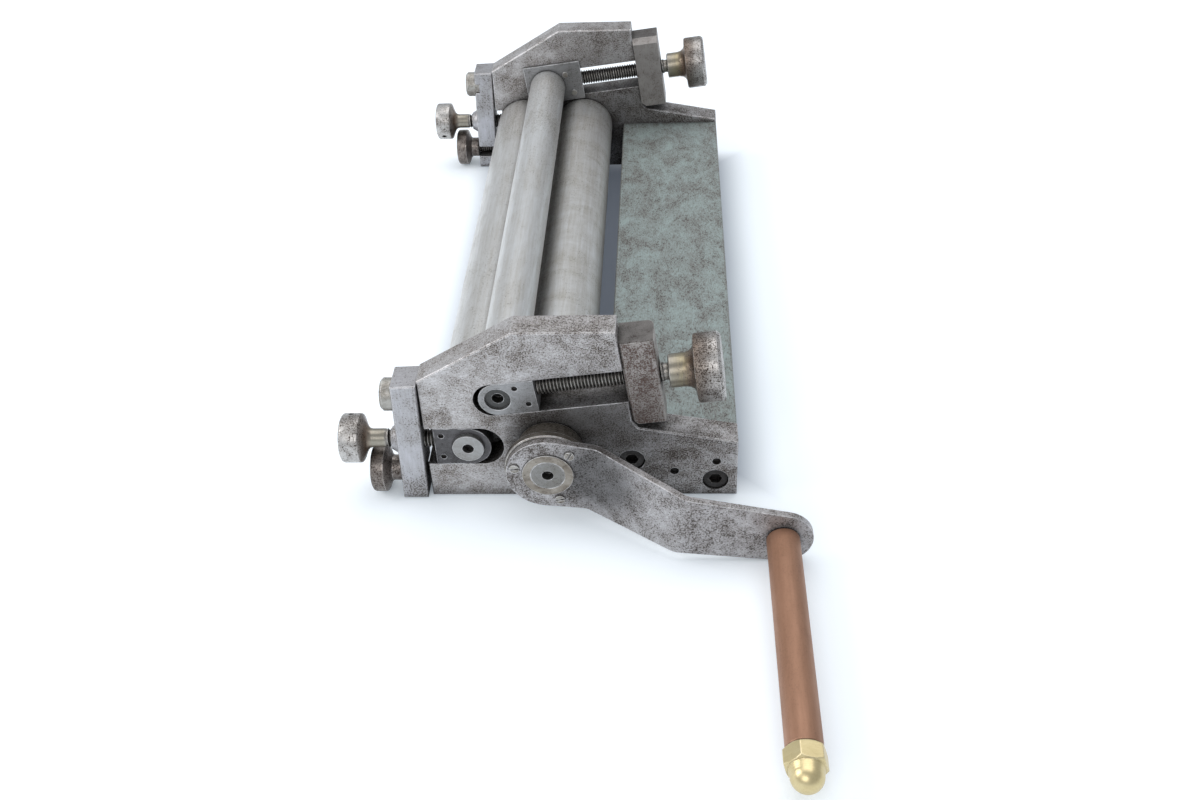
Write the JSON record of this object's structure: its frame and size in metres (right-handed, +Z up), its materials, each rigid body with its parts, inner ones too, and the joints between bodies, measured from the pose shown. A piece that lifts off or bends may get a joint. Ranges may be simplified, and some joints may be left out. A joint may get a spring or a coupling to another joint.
{
  "type": "three-roll bending machine",
  "caption": "Small hand-cranked bench slip roll: two steel end plates on a bed bar carry three rolls, with thumbscrews that set the front and top rolls.",
  "frame": {"origin": "centre of the bed bar's underside, midway between the end plates", "axes": "+Y along the rolls, away from the crank; +X towards the bed bar's outer edge; +Z up from the bench"},
  "size_m": [0.1944, 0.4662, 0.085],
  "materials": {
    "end_plate_steel": "bare steel with a grey-brown patina",
    "bed_enamel": "worn grey-green enamel",
    "roll_steel": "satin ground steel with light stains",
    "block_steel": "oily machined steel",
    "knob_steel": "turned steel, pitted",
    "arm_steel": "dull mottled steel",
    "black_screw_steel": "black oxide",
    "copper": "dull copper tube",
    "brass": "polished brass"
  },
  "bodies": {
    "frame": {"near_end_plate": "end_plate_steel", "far_end_plate": "end_plate_steel", "bed_bar": "bed_enamel", "near_bed_screws": "black_screw_steel", "far_bed_screws": "black_screw_steel", "near_dowel_pins": "black_screw_steel", "far_dowel_pins": "black_screw_steel", "near_keeper": "end_plate_steel", "far_keeper": "end_plate_steel", "near_keeper_screw": "black_screw_steel", "far_keeper_screw": "black_screw_steel", "near_yoke": "end_plate_steel", "far_yoke": "end_plate_steel"},
    "crank": {"drive_roll": "roll_steel", "drive_key": "black_screw_steel", "crank_hub": "knob_steel", "arm_screws": "knob_steel", "crank_arm": "arm_steel", "handle_stud": "knob_steel", "dome_nut": "brass"},
    "grip": {"grip_tube": "copper"},
    "front_carriage": {"near_front_block": "block_steel", "far_front_block": "block_steel", "near_front_stop_pins": "black_screw_steel", "far_front_stop_pins": "black_screw_steel"},
    "front_roll": {"front_roll": "roll_steel"},
    "near_front_screw": {"near_front_thumbscrew": "knob_steel"},
    "far_front_screw": {"far_front_thumbscrew": "knob_steel"},
    "top_carriage": {"near_top_block": "block_steel", "far_top_block": "block_steel", "near_top_stop_pins": "black_screw_steel", "far_top_stop_pins": "black_screw_steel", "near_guide_plate": "block_steel", "far_guide_plate": "block_steel", "near_guide_screws": "knob_steel", "far_guide_screws": "knob_steel"},
    "top_roll": {"top_roll": "roll_steel"},
    "near_top_screw": {"near_top_thumbscrew": "knob_steel"},
    "far_top_screw": {"far_top_thumbscrew": "knob_steel"},
    "near_clamp_screw": {"near_clamp_thumbscrew": "knob_steel"},
    "far_clamp_screw": {"far_clamp_thumbscrew": "knob_steel"}
  },
  "joints": [
    {"name": "crank_turn", "type": "hinge", "parent": "frame", "child": "crank", "pos_m": [-0.05035, 0, 0.0275], "axis": [0, 1, 0], "continuous": true},
    {"name": "grip_turn", "type": "hinge", "parent": "crank", "child": "grip", "pos_m": [0.04345, -0.19, 0.01247], "axis": [0, 1, 0], "continuous": true},
    {"name": "front_roll_slide", "type": "slide", "parent": "frame", "child": "front_carriage", "axis": [1, 0, 0], "range_m": [-0.0035, 0.0009]},
    {"name": "front_roll_turn", "type": "hinge", "parent": "front_carriage", "child": "front_roll", "pos_m": [-0.08475, 0, 0.0275], "axis": [0, 1, 0], "continuous": true},
    {"name": "top_roll_slide", "type": "slide", "parent": "frame", "child": "top_carriage", "axis": [0.9925, 0, 0.1219], "range_m": [-0.0015, 0.03]},
    {"name": "top_roll_turn", "type": "hinge", "parent": "top_carriage", "child": "top_roll", "pos_m": [-0.07045, 0, 0.0522], "axis": [0, 1, 0], "continuous": true},
    {"name": "near_front_screw_turn", "type": "hinge", "parent": "front_carriage", "child": "near_front_screw", "pos_m": [-0.11075, -0.1465, 0.0275], "axis": [1, 0, 0], "range_deg": [-895, 232]},
    {"name": "near_top_screw_turn", "type": "hinge", "parent": "top_carriage", "child": "near_top_screw", "pos_m": [-0.07045, -0.145, 0.0522], "axis": [0.9925, 0, 0.1219], "range_deg": [-385, 7656]},
    {"name": "near_clamp_screw_turn", "type": "hinge", "parent": "frame", "child": "near_clamp_screw", "pos_m": [-0.12075, -0.14605, 0.0105], "axis": [1, 0, 0], "range_deg": [-1080, 0]},
    {"name": "far_front_screw_turn", "type": "hinge", "parent": "front_carriage", "child": "far_front_screw", "pos_m": [-0.11075, 0.1465, 0.0275], "axis": [1, 0, 0], "range_deg": [-895, 232]},
    {"name": "far_top_screw_turn", "type": "hinge", "parent": "top_carriage", "child": "far_top_screw", "pos_m": [-0.07045, 0.145, 0.0522], "axis": [0.9925, 0, 0.1219], "range_deg": [-385, 7656]},
    {"name": "far_clamp_screw_turn", "type": "hinge", "parent": "frame", "child": "far_clamp_screw", "pos_m": [-0.12075, 0.14605, 0.0105], "axis": [1, 0, 0], "range_deg": [-1080, 0]}
  ],
  "couplings": [
    {"joint": "near_front_screw_turn", "follows": "front_roll_slide", "rad_per_m": 4452.7},
    {"joint": "near_top_screw_turn", "follows": "top_roll_slide", "rad_per_m": 4452.7},
    {"joint": "far_front_screw_turn", "follows": "front_roll_slide", "rad_per_m": 4452.7},
    {"joint": "far_top_screw_turn", "follows": "top_roll_slide", "rad_per_m": 4452.7}
  ]
}
